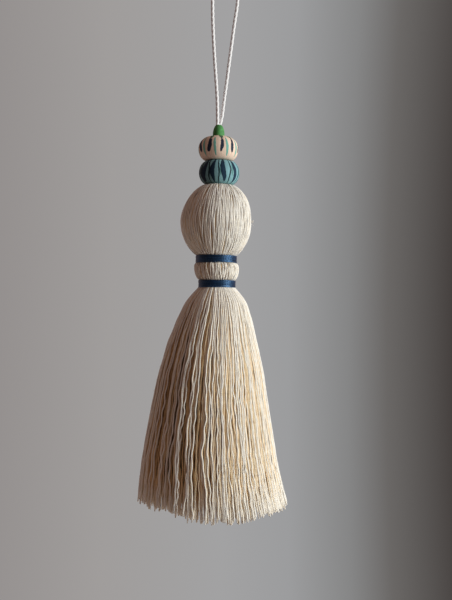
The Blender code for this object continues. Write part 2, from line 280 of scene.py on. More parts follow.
def make_piece(name, points, quads, triangles, uv, material, tint):
    """Put arrays into a smooth mesh object at the origin and ride it on the one body.

    uv holds a pair for each corner, the quads' corners first.  tint, if any, is one a point.
    """
    corners = np.concatenate([quads.ravel(), triangles.ravel()])
    starts = np.concatenate([np.arange(len(quads)) * 4,
                             len(quads) * 4 + np.arange(len(triangles)) * 3])
    mesh = bpy.data.meshes.new(name)
    mesh.vertices.add(len(points))
    mesh.loops.add(len(corners))
    mesh.polygons.add(len(starts))
    put(mesh.vertices, "co", points)
    put(mesh.loops, "vertex_index", corners, np.int32)
    put(mesh.polygons, "loop_start", starts, np.int32)
    put(mesh.polygons, "use_smooth", np.ones(len(starts)), bool)
    mesh.update(calc_edges=True)
    put(mesh.uv_layers.new(name="UVMap").data, "uv", uv)
    if tint is not None:
        put(mesh.attributes.new("tint", "FLOAT", "POINT").data, "value", tint)
    if mesh.validate():
        raise RuntimeError(f"{name}: the mesh had faults")
    mesh.materials.append(material)
    piece = bpy.data.objects.new(name, mesh)
    bpy.context.scene.collection.objects.link(piece)
    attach(piece, "root")
    return piece


def rolled(name, rings, run, tips, material, tint, reverse=False):
    """Join rings of points into tubes, in one mesh.

    rings is (tubes, stations, sides, 3).  tips is (tubes, 2, 3), a point that closes each end, or
    None where the last ring joins the first.  U goes once round a ring and V is the run, one a
    station and one more where they join.  tint is one a station, or none.
    """
    tube_count, stations, sides = rings.shape[:3]
    start = np.arange(tube_count * stations * sides).reshape(rings.shape[:3])
    after = np.roll(start, -1, axis=2)
    below, beyond = np.roll(start, -1, axis=1), np.roll(after, -1, axis=1)
    left, right = np.arange(sides) / sides, np.arange(1, sides + 1) / sides
    low, high = run[:, :-1, None], run[:, 1:, None]
    corners = [(start, left, low), (after, right, low), (beyond, right, high), (below, left, high)]
    if reverse:
        corners = corners[:1] + corners[:0:-1]
    quads = together(*(point[:, :low.shape[1]] for point, _, _ in corners)).reshape(-1, 4)
    uv = together(*(part for corner in corners for part in corner[1:])).reshape(-1, 2)
    points, triangles = rings.reshape(-1, 3), np.empty((0, 3), int)
    if tips is not None:
        tip = len(points) + 2 * np.arange(tube_count)[:, None]
        triangles = np.concatenate([together(after[:, 0], start[:, 0], tip),
                                    together(start[:, -1], after[:, -1], tip + 1)]).reshape(-1, 3)
        points = np.vstack([points, tips.reshape(-1, 3)])
        uv = np.vstack([uv, np.zeros((triangles.size, 2))])
    if reverse:
        triangles = triangles[:, ::-1]
    if tint is not None:
        tint = tint + np.zeros((tube_count, stations))
        tint = np.concatenate([np.repeat(tint.ravel(), sides), tint[:, [0, -1]].ravel()])
    return make_piece(name, points, quads, triangles, uv, material, tint)


def turned(name, profile, steps, material, shift=0.0, closed=True, tint=None):
    """Turn (radius, height) points round the Z axis.

    The point at angle a and place v of the profile is (r(v) cos a, r(v) sin a, z(v)), moved to
    the right by the shift, one for all or one a point.  The profile runs down the outside.  A
    closed one comes back up its bore, and an open one gets a point on the axis at each end.  U is
    the angle in turns from the front, V the point's number over their count.
    """
    profile = np.array(profile)
    radius, height = profile[:, :1], profile[:, 1:]
    shift = shift + 0.0 * radius
    angles = np.arange(steps) / steps * FULL_TURN - math.pi / 2.0
    rings = together(radius * np.cos(angles) + shift, radius * np.sin(angles), height)
    tips = None if closed else together(shift, 0.0, height)[[0, -1]]
    run = np.arange(len(profile) + closed)[None, :] / len(profile)
    return rolled(name, rings[None], run, tips, material, tint, reverse=True)


def tubes(name, paths, radii, sides, outward, material, tint=None, lobes=1.0):
    """Closed tubes along many paths at once, in one mesh.

    paths is (tubes, stations, 3), radii (tubes, stations).  At each station the section is a
    regular polygon across the path, its first corner towards outward; lobes scales the radius of
    each corner of each station.  Each end is closed by a low point.  U goes once round the
    section and V is the length along the path in centimetres.
    """
    along = unit(np.gradient(paths, axis=1))
    out = unit(outward - (outward * along).sum(axis=2, keepdims=True) * along)
    side = np.cross(along, out)
    angle = np.arange(sides) / sides * FULL_TURN
    reach = radii[..., None] * lobes + 0.0 * angle
    rings = (paths[:, :, None] + (reach * np.cos(angle))[..., None] * out[:, :, None]
             + (reach * np.sin(angle))[..., None] * side[:, :, None])
    tips = np.stack([paths[:, 0] - 0.5 * radii[:, 0, None] * along[:, 0],
                     paths[:, -1] + 0.5 * radii[:, -1, None] * along[:, -1]], axis=1)
    run = np.linalg.norm(np.diff(paths, axis=1), axis=2).cumsum(axis=1) * V_PER_METRE
    run = np.pad(run, ((0, 0), (1, 0)))
    return rolled(name, rings, run, tips, material, tint)


def round_axis(angle, radius, height, shift=None):
    """Points at angles from the front, radii and heights, and the outward directions there.

    They are moved to the right by the shift, which is the yarn's sway unless one is given.
    """
    out = together(np.sin(angle), -np.cos(angle), 0.0)
    places = out * radius[..., None]
    places[..., 2] = height
    places[..., 0] += sway(height) if shift is None else shift
    return places, out


# ---------------- shader maths


def math_node(operation, turned_round=False):
    """A Python operator that adds a Math node."""
    def work(self, other):
        terms = (other, self) if turned_round else (self, other)
        return self.nodes.maths(operation, *terms)
    return work


class Value:
    """A number socket that can be used in Python sums; each operation adds a Math node."""

    def __init__(self, nodes, socket):
        self.nodes = nodes
        self.socket = socket

    __add__ = __radd__ = math_node("ADD")
    __mul__ = __rmul__ = math_node("MULTIPLY")
    __sub__, __rsub__ = math_node("SUBTRACT"), math_node("SUBTRACT", True)
    __truediv__, __rtruediv__ = math_node("DIVIDE"), math_node("DIVIDE", True)


class Nodes:
    """A node tree and one way to add any node to it."""

    def __init__(self, tree):
        self.tree = tree

    def add(self, kind, settings=None, inputs=None):
        """Add a shader node: first its settings, then the values or links of its sockets by name
        or number.  A ramp's stops are given as the setting stops, a list of (place, colour)."""
        node = self.tree.nodes.new("ShaderNode" + kind)
        for key, setting in (settings or {}).items():
            if key == "stops":
                elements = node.color_ramp.elements
                while len(elements) < len(setting):
                    elements.new(1.0)
                for element, (place, shade) in zip(elements, setting):
                    element.position = place
                    element.color = (*shade, 1.0)
            else:
                setattr(node, key, setting)
        self.feed(node, inputs or {})
        return node

    def feed(self, node, inputs):
        """Link or set a node's sockets."""
        for key, value in inputs.items():
            socket = node.inputs[key]
            if isinstance(value, Value):
                value = value.socket
            if isinstance(value, bpy.types.NodeSocket):
                self.tree.links.new(value, socket)
            elif socket.type == "RGBA":
                socket.default_value = (*value, 1.0)
            else:
                socket.default_value = value

    def value(self, node, output=0):
        return Value(self, node.outputs[output])

    def parts(self, vector):
        """The three numbers of a vector."""
        node = self.add("SeparateXYZ", {}, {0: vector})
        return [self.value(node, k) for k in range(3)]

    def vector(self, x, y, z):
        return self.add("CombineXYZ", {}, {0: x, 1: y, 2: z}).outputs[0]

    def place(self):
        """The place on the object."""
        return self.add("TexCoord").outputs["Object"]

    def around_and_along(self):
        """U and V of the piece's own map."""
        return self.parts(self.add("UVMap", {"uv_map": "UVMap"}).outputs[0])[:2]

    def maths(self, operation, *terms):
        return self.value(self.add("Math", {"operation": operation},
                                   dict(enumerate(terms))))

    def mix(self, share, first, second):
        """Mix two colours; share is the second one's part."""
        return self.add("Mix", {"data_type": "RGBA"},
                        {0: share, 6: first, 7: second}).outputs[2]

    def step(self, value, low, high):
        """0 below low, 1 above high, smooth between; low may be above high."""
        if low > high:
            return 1.0 - self.step(value, high, low)
        return self.value(self.add("MapRange", {"interpolation_type": "SMOOTHSTEP"},
                                   {0: value, 1: low, 2: high}))

    def noise(self, vector, scale, detail=2.0, roughness=0.5):
        return self.value(self.add("TexNoise", {}, {
            "Vector": vector, "Scale": scale, "Detail": detail, "Roughness": roughness}), "Fac")

    def chance(self, value, seed):
        """A number from 0 to 1 that is steady for one whole value."""
        return self.value(self.add("TexWhiteNoise", {"noise_dimensions": "2D"},
                                   {"Vector": self.vector(value, seed, 0.0)}), "Value")


class Finish(Nodes):
    """A new material and its shader."""

    def __init__(self, name):
        self.material = bpy.data.materials.new(name)
        self.material.use_nodes = True
        super().__init__(self.material.node_tree)
        self.shader = self.tree.nodes["Principled BSDF"]

    def done(self, shade, relief, depth, settings):
        """Join the colour and a bump of that depth, then the shader's other sockets by name."""
        bump = self.add("Bump", {}, {"Height": relief, "Distance": depth})
        self.feed(self.shader, {"Base Color": shade, "Normal": bump.outputs["Normal"], **settings})
        return self.material


def times(shade, *factors):
    """A colour times one factor or three, each part at most 1."""
    return tuple(min(1.0, part * factor) for part, factor in zip(shade, factors * 3))


class BeadFinish(Finish):
    """A bead's material, with the angle from the front in turns and the height above its base."""

    def __init__(self, name, node, shift=0.0):
        super().__init__(name)
        base, top = node_span(node)
        self.spot = self.place()
        across, back, up = self.parts(self.spot)
        self.angle = self.maths("ARCTAN2", across - shift, 0.0 - back) / FULL_TURN
        self.up, self.height = up - base, top - base

    def grain(self, around, upwards, layer, detail=2.0, roughness=0.5):
        """Noise stretched by two scales, round and up the bead; each layer has its own."""
        return self.noise(self.vector(self.angle * around, self.up * upwards, layer), 1.0,
                          detail, roughness)

    def left_side(self):
        """0 on the front and right, rising to 1 towards the left, where strokes are broader."""
        # The broader strokes on the left darken that side: partly the bead's pattern, partly
        # painted shade
        return self.step(self.maths("SINE", self.angle * -FULL_TURN), 0.1, 0.95)

    def cells(self, pairs, lead, scale, reach, seeds):
        """Cut the angle into as many cells as there are pairs of strokes.

        Gives the angle from the middle of its cell, which wobbles by half the reach with a noise
        of that scale, the height from 0 at the bead's base to 1 at its top, and each cell's
        chances from 0 to 1, one for each seed.
        """
        cell = (self.angle + lead) * float(pairs)
        number = self.maths("FLOOR", cell)
        across = (cell - number - 0.5) / float(pairs)
        wobble = (self.noise(self.spot, scale) - 0.5) * reach
        return (across + wobble, self.up / self.height,
                [self.chance(number, seed) for seed in seeds])

    def stroke(self, angle, share, centre, width, top, base, lead, wave, belly=0.5):
        """Mask of one painted upright stroke.

        Its angle and share are those of its cell.  It is widest at the share belly between its
        ends; its width falls towards each end as the root of a parabola, and its middle line
        swings as a sine of the height.
        """
        place = (share - base) / (top - base)
        ends = self.step(place, 0.0, 0.02) * self.step(place, 1.0, 0.98)
        near = self.maths("MINIMUM", place / belly, (1.0 - place) / (1.0 - belly))
        near = self.maths("MAXIMUM", self.maths("MINIMUM", near, 1.0), 0.0)
        thickness = width * self.maths("SQRT", near * (2.0 - near))
        drift = self.maths("SINE", share * wave + lead) * width * 0.55
        off = self.maths("ABSOLUTE", angle - centre - drift)
        return self.maths("MINIMUM", ends,
                          1.0 - self.step(off - thickness, -PAINT_EDGE, PAINT_EDGE))


# ---------------- cord and beads


def white_cotton(settings):
    """Bleached cotton: fibres run along each ply, and the groove between them is browner, a
    painted shade.
    """
    cotton = Finish("white cord")
    around, along = cotton.around_and_along()
    turn = around - along / (settings.lay * V_PER_METRE)
    back = cotton.maths("ABSOLUTE", cotton.maths("COSINE", turn * FULL_TURN))
    fibres = cotton.noise(cotton.vector(turn * 16.0, along * 2.0, 0.0), 1.0, 3.0)
    groove = 1.0 - cotton.step(back, 0.0, 0.45)
    # Brown for the groove between the plies: painted shade
    groove_shade_brown = (0.52, 0.40, 0.34)
    shade = cotton.mix(groove * 0.40 + (fibres - 0.5) * 0.2, settings.colour, groove_shade_brown)
    return cotton.done(shade, fibres, 0.1 * MM, {"Roughness": 0.85, "Sheen Weight": 0.2})


class TASSEL_OT_cord(bpy.types.Operator):
    """Make the hanging cord: two plies laid round each other, up through the beads and round"""
    bl_idname = "tassel.cord"
    bl_label = "Hanging cord"

    def execute(self, context):
        settings = context.scene.tassel_cord
        foot = (HEAD_SEAT + FIT) / MM
        route = [(-LEG_OFFSET / MM, foot), *CORD_ROUTE, (LEG_OFFSET / MM, foot)]
        # The legs lie closer inside the large beads, and lower down one stands before the other
        beads_top, squeeze, apart, step, sides = -92.0, 0.72, 0.6, 0.42 * MM, 14
        points = [(across * squeeze * MM if up < beads_top else across * MM,
                   (-apart if k < len(route) / 2 else apart) * MM * eased((-40.0 - up) / 40.0),
                   up * MM) for k, (across, up) in enumerate(route)]
        total = smooth_curve(points, 2)[1]
        path, total = smooth_curve(points, round(total / step) + 1)
        run = np.linspace(0.0, total, len(path))[None, :, None]
        around = np.arange(sides) / sides * FULL_TURN
        # Two round plies: full radius on their backs, a groove between them, once round per lay
        lobes = 0.76 + 0.24 * np.abs(np.cos(around - FULL_TURN * run / settings.lay)) ** 0.8
        radii = np.full((1, len(path)), settings.diameter / 2.0)
        piece = tubes("twisted_cord", path[None], radii, sides, np.array([0.0, -1.0, 0.0]),
                      white_cotton(settings), lobes=lobes)
        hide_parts("hanging_cord")
        return {"FINISHED"}


def bead_outline(node, radius, top_flat, base_flat):
    """Closed outline of a flattened bead, from the top of its bore down the outside and back up.

    The side is two quarter ellipses between the flat ends; the hole's two rims are rounded.
    """
    base, top = node_span(node)
    half, middle, rim = (top - base) / 2.0, (top + base) / 2.0, 0.35 * MM
    angle = np.linspace(math.pi / 2.0, -math.pi / 2.0, 45)
    bend = np.linspace(0.0, math.pi / 2.0, 5)
    flat = np.where(angle >= 0.0, top_flat, base_flat)
    return np.vstack([
        together(LARGE_BORE + rim - rim * np.cos(bend), top - rim + rim * np.sin(bend)),
        together(flat + (radius - flat) * np.cos(angle), middle + half * np.sin(angle)),
        together(LARGE_BORE + rim - rim * np.sin(bend), base + rim - rim * np.cos(bend))])


def egg_outline():
    """Closed outline of the green bead: an upright half ellipse whose lower end is flat."""
    radius, half, widest, lip = 3.65 * MM, 7.0 * MM, 0.9 * MM, 1.8 * MM
    angle = np.linspace(math.acos(lip / radius), math.asin(-widest / half), 30)
    side = together(radius * np.cos(angle), GREEN_BASE + widest + half * np.sin(angle))
    rim = [(SMALL_BORE + 0.25 * MM, GREEN_BASE), (SMALL_BORE + 0.08 * MM, GREEN_BASE),
           (SMALL_BORE, GREEN_BASE + 0.1 * MM)]
    inner = [(SMALL_BORE, side[0, 1] - 1.4 * MM), (lip - 0.1 * MM, side[0, 1] - 0.5 * MM)]
    return np.vstack([side, rim, inner])


def green_paint(settings):
    """Satin green paint with faint rings of the turning and lighter patches."""
    bead = BeadFinish("green paint", "green_bead")
    rings = bead.noise(bead.vector(bead.angle * 0.5, 0.0, bead.up * 2600.0), 1.0)
    patches = bead.noise(bead.spot, 450.0, 3.0)
    light = tuple(min(1.0, 1.25 * part + 0.02) for part in settings.green)
    shade = bead.mix(bead.step(rings, 0.3, 0.75) * 0.55, times(settings.green, 0.62),
                     settings.green)
    shade = bead.mix(bead.step(patches, 0.45, 0.8) * 0.5, shade, light)
    return bead.done(shade, rings + patches * 0.5, 0.05 * MM, {
        "Roughness": 0.48 + patches * 0.2, "Specular IOR Level": 0.2})


def painted_wood(settings):
    """Pale wood with faint grain and turning rings, under drips in turn navy and pale teal.

    Each cell holds a navy drip, thin at the top and round at its lower end, and a short green
    dab at the rim, both shifted by chance.  A longer pale drip that narrows to both ends lies
    on the border between two cells.
    """
    bead = BeadFinish("painted wood", "painted_bead")
    across, share, luck = bead.cells(settings.pairs, 1.024, 620.0, 0.010, (3.0, 11.0, 17.0, 29.0))
    centre, lead = (luck[0] - 0.5) * 0.012, luck[3] * 6.0
    # Navy drips broader on the left: partly the pattern, partly painted shade for that side
    width = (1.0 + bead.left_side() * 1.1) * (0.0100 + luck[1] * 0.005)
    navy = bead.stroke(across, share, centre, width, 0.99, 0.22 + luck[2] * 0.10, lead, 5.0,
                       belly=0.32)
    taper = bead.step(bead.step(share, 0.98, 0.55), 0.05, 0.5)
    thin_end = bead.stroke(across, share, centre, 0.0045, 1.0, 0.40, lead, 5.0)
    navy = bead.maths("MAXIMUM", navy * taper, thin_end)
    border = bead.maths("ABSOLUTE", across) * -1.0 + 0.5 / float(settings.pairs)
    from_border = bead.maths("SIGN", across) * border * -1.0
    pale = bead.stroke(from_border, share, 0.0, 0.0110, 0.88, 0.10, 2.0, 3.0)
    dab = bead.stroke(across, share, centre, 0.024, 1.12, 0.84, 1.0, 2.0)

    grain = bead.grain(70.0, 60.0, 1.0, 3.0, 0.6)
    rings = bead.grain(1.5, 1500.0, 4.0)
    thin = bead.grain(160.0, 140.0, 7.0)
    dark_wood = times(settings.wood, 0.74, 0.66, 0.60)
    wood = bead.mix(bead.step(grain, 0.42, 0.75) * 0.8, settings.wood, dark_wood)
    wood = bead.mix(bead.step(rings, 0.55, 0.85) * 0.35, wood, dark_wood)
    pale_paint = bead.mix(bead.step(thin, 0.35, 0.8) * 0.5, settings.drips,
                          times(settings.drips, 0.55))
    thin_navy, deep_green = (0.035, 0.085, 0.16), (0.05, 0.19, 0.075)
    navy_paint = bead.mix(bead.step(thin, 0.4, 0.8) * 0.5, settings.navy, thin_navy)
    shade = bead.mix(pale * 0.96, wood, pale_paint)
    shade = bead.mix(dab * 0.9, shade, deep_green)
    shade = bead.mix(navy * 0.98, shade, navy_paint)
    paint = bead.maths("MAXIMUM", bead.maths("MAXIMUM", navy, pale), dab)
    return bead.done(shade, paint * 0.9 + grain * 0.35 + rings * 0.25, 0.06 * MM, {
        "Roughness": 0.62 - paint * 0.14 + grain * 0.1, "Specular IOR Level": 0.08})


def teal_paint(settings):
    """Teal ground brushed on thinly, with broad navy lenses, thin dark lines between them and
    a short darker teal lens beside each line."""
    bead = BeadFinish("teal paint", "teal_bead", TEAL_SHIFT)
    # One pair of strokes, left of the front, stands a little closer to the next
    closer = bead.step(bead.angle, 0.03, -0.15) * bead.step(bead.angle, -0.48, -0.30)
    across, share, luck = bead.cells(settings.pairs, 1.0277 - closer * 0.034, 560.0, 0.012,
                                     (5.0, 14.0, 19.0, 31.0))
    # Broader strokes on the left, and painted shade there
    broader_and_shaded = 1.0 + bead.left_side()
    broad = bead.stroke(across, share, 0.018 + (luck[0] - 0.5) * 0.008,
                        broader_and_shaded * (0.0145 + luck[1] * 0.0100), 1.02, luck[2] * 0.12,
                        luck[3] * 6.0, 4.5)
    line = bead.stroke(across, share, -0.026 + (luck[2] - 0.5) * 0.008, broader_and_shaded * 0.0068,
                       1.06, -0.06, luck[1] * 6.0, 9.0)
    short = bead.stroke(across, share, -0.008, broader_and_shaded * 0.0058, 0.80, 0.30,
                        luck[0] * 6.0, 3.0)
    brush = bead.grain(120.0, 110.0, 2.0, 3.0, 0.6)
    # Darker ground on the left, the side turned from the light: painted shade
    ground = bead.mix(bead.step(brush, 0.32, 0.75) * 0.75 + (broader_and_shaded - 1.0) * 0.4,
                      settings.teal, times(settings.teal, 0.55))
    # Fewer light navy streaks on the left: painted shade
    thin = bead.step(brush, 0.4, 0.8) * (2.0 - broader_and_shaded) * 0.5
    deep_teal, near_black = (0.055, 0.19, 0.15), (0.008, 0.022, 0.026)
    thin_navy = (0.04, 0.09, 0.16)
    shade = bead.mix(short * 0.7, ground, deep_teal)
    shade = bead.mix(line * 0.95, shade, near_black)
    shade = bead.mix(broad * 0.97, shade, bead.mix(thin, settings.navy, thin_navy))
    paint = bead.maths("MAXIMUM", broad, line)
    return bead.done(shade, paint * 0.8 + brush * 0.5, 0.06 * MM, {
        "Roughness": 0.60 - paint * 0.12 + brush * 0.12, "Specular IOR Level": 0.08})


class TASSEL_OT_beads(bpy.types.Operator):
    """Make the three beads: the green egg, the one with painted drips and the striped teal one"""
    bl_idname = "tassel.beads"
    bl_label = "Beads"

    def execute(self, context):
        settings = context.scene.tassel_beads
        piece = turned("small_green_bead", egg_outline(), 64, green_paint(settings))
        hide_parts("green_bead")
        outline = bead_outline("painted_bead", 12.4 * MM, 4.6 * MM, 7.2 * MM)
        piece = turned("drip_painted_bead", outline, 128, painted_wood(settings))
        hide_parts("painted_bead")
        outline = bead_outline("teal_bead", 12.6 * MM, 7.2 * MM, 6.8 * MM)
        piece = turned("striped_teal_bead", outline, 128, teal_paint(settings),
                       shift=TEAL_SHIFT)
        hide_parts("teal_bead")
        return {"FINISHED"}


# ---------------- yarn


def yarn_finish(context):
    """The one yarn material, made once.

    Soft twisted cotton: the yarns' tint goes from pale to tan and, past it, to deep brown.  Tan is
    part the yarns' own tone and part painted shade between and under yarns; the deep brown is
    painted shade in the deepest gaps.  The twist makes slanting ridges, a little darker in their
    grooves as painted shade, with slow patches and short fibres.
    """
    found = bpy.data.materials.get("ecru yarn")
    if found:
        return found
    settings, yarn = context.scene.tassel_yarn, Finish("ecru yarn")
    tint = yarn.value(yarn.add("Attribute", {"attribute_name": "tint"}), "Fac")
    around, along = yarn.around_and_along()
    ply = yarn.maths("SINE", (around * 2.0 + along / YARN_LAY) * FULL_TURN)
    fibres = yarn.noise(yarn.vector(around * 9.0, along * 14.0, tint * 60.0), 1.0, 3.0, 0.6)
    patches = yarn.noise(yarn.place(), 210.0, 2.0, 0.55)
    # The twist's grooves take a little more tan: painted shade
    share = tint + (patches - 0.5) * 0.20 - ply * 0.05 + (fibres - 0.5) * 0.44
    shade = yarn.mix(share, settings.pale, settings.tan)
    # Past tan, deep brown: painted shade in the deepest gaps
    shade = yarn.mix(yarn.step(share, 0.85, 1.6), shade, times(settings.tan, 0.40, 0.34, 0.34))
    return yarn.done(shade, ply * 0.5 + fibres, 0.022 * MM, {
        "Roughness": 0.92, "Specular IOR Level": 0.2, "Sheen Weight": 0.35,
        "Sheen Roughness": 0.45, "Sheen Tint": (1.0, 0.95, 0.86), "Subsurface Weight": 0.5,
        "Subsurface Radius": (1.0, 1.0, 1.0), "Subsurface Scale": 0.6 * MM})


def head_outline():
    """Outside of the ball as (radius, height): from under the bead, over the lip and down an
    upright ellipse, tucked in behind the upper binding."""
    angle = np.radians(np.linspace(56.0, -53.9, 12))
    fuller = np.where(angle > 0.0, 0.92, 1.0)
    ball = together(HEAD_RADIUS * np.cos(angle) ** fuller, HEAD_CENTRE + HEAD_HALF * np.sin(angle))
    lip = [(5.4 * MM, HEAD_SEAT - 0.6 * MM), (7.4 * MM, HEAD_SEAT - 0.2 * MM),
           (9.5 * MM, HEAD_SEAT + 0.05 * MM)]
    tuck = [(12.1 * MM, UPPER_TOP + 0.1 * MM), (10.9 * MM, UPPER_TOP - 1.4 * MM)]
    return np.vstack([lip, ball, tuck])


def neck_outline():
    """Outside of the neck as (radius, height), tucked in behind both bindings."""
    rows = np.array(NECK_PROFILE)
    top, base = UPPER_BASE - FIT, LOWER_TOP + FIT
    return together(rows[:, 1] * MM, top - rows[:, 0] * (top - base))


def laid_yarns(name, outline, stations, yarns, seed, inset, swing, waves, context):
    """Yarns laid side by side over a turned outline, in one piece; inset, swing, waves in mm.

    A yarn's middle runs along the outline, its own half thickness and depth inside it, at its own
    angle.  It strays sideways by a sum of sines, and where the outline is too narrow for all yarns
    to lie side by side the later ones sink below the others.  Three in five lie behind the rest,
    deeper on the left.  Sunk yarns, and on the left those behind, are coloured darker: painted
    shade.
    """
    chance = np.random.default_rng(seed)
    thickness, inset = 0.88 * context.scene.tassel_yarn.thickness, inset * MM
    line, total = smooth_curve(outline, stations)
    slope = unit(np.gradient(line, axis=0))
    inward = together(slope[:, 1], -slope[:, 0])
    run = np.linspace(0.0, total, stations)[None, :] + np.zeros((yarns, 1))
    number, spacing = np.arange(yarns)[:, None], FULL_TURN / yarns
    rank = chance.permutation(yarns)[:, None] / yarns
    room = np.clip(FULL_TURN * line[:, 0] / (yarns * thickness * 0.72), 0.0, 1.0)
    behind = np.isin(number % 5, (1, 3, 4))
    rank = (rank + behind) / 2.0
    left = eased((-np.sin(number * FULL_TURN / yarns) - 0.05) / 0.5)
    sunk = (eased((rank - room) / 0.30) * inset * 2.2
            + inset * behind * (0.15 + 0.40 * rank) * (1.0 + 2.2 * left))
    thick = thickness * chance.uniform(0.86, 1.12, (yarns, 1))
    thick = thick * (1.0 + 0.06 * wander(chance, yarns, run, 4.0, 12.0))
    depth = thick / 2.0 + sunk + 0.06 * MM * wander(chance, yarns, run, 6.0, 30.0)
    radius = line[:, 0] + inward[:, 0] * depth
    angle = number * spacing + chance.uniform(-0.3, 0.3, (yarns, 1)) * spacing
    stray = swing * MM * wander(chance, yarns, run, *waves)
    angle = angle + stray / np.maximum(radius, 8.0 * MM)
    paths, out = round_axis(angle, radius, line[:, 1] + inward[:, 1] * depth)
    outward = out * -inward[None, :, :1]
    outward[..., 2] = -inward[:, 1]
    # A random tone of each yarn, and painted shade: darker for sunk yarns and, on the left, for
    # those behind
    tint = (0.24 * chance.random((yarns, 1)) ** 2 + (0.24 * left - 0.05) * behind
            + 0.65 * sunk / (inset * 3.2))
    return tubes(name, paths, thick / 2.0, 6, outward, yarn_finish(context), tint)


class TASSEL_OT_head(bpy.types.Operator):
    """Make the ball-shaped head and the neck: yarns laid over a body of packed yarn"""
    bl_idname = "tassel.head"
    bl_label = "Head and neck"

    def execute(self, context):
        settings = context.scene.tassel_yarn
        below = 1.5 * MM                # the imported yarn's depth under the laid ones
        rows = [(2.0 * MM, HEAD_SEAT - 2.2 * MM)]
        for outline in (head_outline(), neck_outline()):
            line, _ = smooth_curve(outline, 40)
            rows += [(radius - below, height) for radius, height in line[3:-1]]
        depths = np.array([0.5, 2.0, 4.0, 7.0, 9.0]) * MM
        rows += list(zip(table(SKIRT_PROFILE, depths) - 2.2 * MM, LOWER_BASE - depths))
        rows += [(10.0 * MM, LOWER_BASE - 10.5 * MM), (3.0 * MM, LOWER_BASE - 11.0 * MM)]
        # The body under the laid yarns is coloured tan: painted shade seen between them
        body = turned("packed_yarn", rows, 72, yarn_finish(context),
                      shift=sway(np.array(rows)[:, 1:]), closed=False, tint=0.9)
        head = laid_yarns("head_yarns", head_outline(), 34, settings.head_yarns, 21, 0.24, 0.34,
                          (16.0, 60.0), context)
        neck = laid_yarns("neck_yarns", neck_outline(), 14, settings.neck_yarns, 34, 0.28, 0.35,
                          (10.0, 30.0), context)
        for piece in (body, head, neck):
            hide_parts("yarn_tassel")
        return {"FINISHED"}


def hem_depth(turn):
    """How far below the binding the yarns end: shorter on the left and a little on the right."""
    left, right = eased((-np.sin(turn) - 0.15) / 0.5), eased((np.sin(turn) - 0.35) / 0.45)
    return SKIRT_LENGTH - (0.4 + 3.2 * left + 1.7 * right) * MM


def looseness(turn):
    """How far apart the outer layers stand: close together on the right, looser on the left."""
    return 0.18 + 1.27 * eased((0.24 - np.sin(turn)) / 0.9)


def bundles(turn):
    """Pull of each yarn towards the middle of its bundle, as an angle, and how near it is to it.

    The bundles are the waves of a sine of BUNDLES times the angle, made uneven by two slower ones.
    """
    lead = BUNDLES * turn + 1.7 * np.sin(2.0 * turn + 1.0) + 1.1 * np.sin(5.0 * turn + 2.2)
    return -np.sin(lead) * 0.42 / BUNDLES, np.cos(lead)


